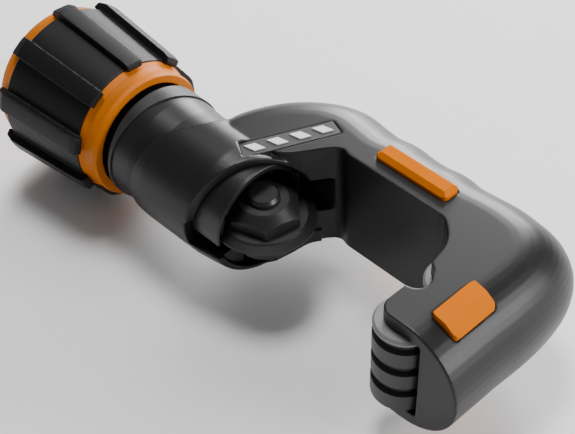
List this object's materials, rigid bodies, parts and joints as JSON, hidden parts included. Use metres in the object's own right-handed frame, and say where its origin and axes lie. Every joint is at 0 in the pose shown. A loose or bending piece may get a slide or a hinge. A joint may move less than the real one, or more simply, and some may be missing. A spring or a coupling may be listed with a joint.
{
  "type": "pipe cutter",
  "caption": "Hand pipe cutter with a C-shaped frame, a screw-fed cutter wheel on a carriage, and grooved rollers that carry the pipe against it.",
  "frame": {"origin": "on the feed line in the mid-plane of the frame, where the cutter wheel's axle stands when the carriage is back", "axes": "+X along the feed line from knob to jaw, +Y towards the spine, +Z square to the plane of the C, along a pipe's axis"},
  "size_m": [0.1486, 0.0611, 0.0444],
  "materials": {
    "body_black": "satin",
    "collar_grey": "satin",
    "bar_orange": "satin",
    "badge_metal": "satin",
    "roller_steel": "turned",
    "bronze": "machined",
    "ring_rubber": "matte",
    "knob_orange": "satin",
    "grip_rubber": "fine grain",
    "dark_metal": "satin black oxide",
    "steel": "machined"
  },
  "bodies": {
    "frame": {"frame": "body_black", "neck_sleeve": "body_black", "neck_collar": "collar_grey", "end_plug": "steel", "set_screw": "steel", "spine_bar_top": "bar_orange", "spine_bar_bottom": "bar_orange", "jaw_bar_top": "bar_orange", "jaw_bar_bottom": "bar_orange", "badge_plate": "badge_metal", "near_roller_pin": "steel", "far_roller_pin": "steel", "roller_washers": "steel", "friction_ring": "ring_rubber", "thrust_washer_front": "bronze"},
    "knob": {"lead_screw": "steel", "thrust_washer_rear": "bronze", "screw_circlip": "steel", "knob_core": "knob_orange", "knob_grip": "grip_rubber", "knob_collar": "knob_orange", "knob_cap": "knob_orange", "knob_screw": "steel", "knob_washer": "steel", "drive_key": "steel"},
    "carriage": {"carriage": "dark_metal", "feed_nut": "bronze", "nut_pin": "steel", "guide_key": "steel", "key_screws": "steel", "wheel_stud": "dark_metal", "wheel_nut": "dark_metal", "thrust_disc": "steel", "stud_clip": "steel"},
    "wheel": {"cutter_wheel": "dark_metal", "wheel_bush": "bronze"},
    "near_roller": {"near_roller": "roller_steel"},
    "far_roller": {"far_roller": "roller_steel"}
  },
  "joints": [
    {"name": "knob_turn", "type": "hinge", "parent": "frame", "child": "knob", "pos_m": [0, 0, 0], "axis": [1, 0, 0], "range_deg": [-540, 5310]},
    {"name": "carriage_feed", "type": "slide", "parent": "frame", "child": "carriage", "axis": [1, 0, 0], "range_m": [-0.00301, 0.02951]},
    {"name": "wheel_spin", "type": "hinge", "parent": "carriage", "child": "wheel", "pos_m": [-0.0004, 0, 0], "axis": [0, 0, 1], "continuous": true},
    {"name": "near_roller_spin", "type": "hinge", "parent": "frame", "child": "near_roller", "pos_m": [0.0507, -0.008, 0], "axis": [0, 0, 1], "continuous": true},
    {"name": "far_roller_spin", "type": "hinge", "parent": "frame", "child": "far_roller", "pos_m": [0.0507, 0.008, 0], "axis": [0, 0, 1], "continuous": true}
  ],
  "couplings": [
    {"joint": "carriage_feed", "follows": "knob_turn", "m_per_rad": 0.00031831}
  ]
}
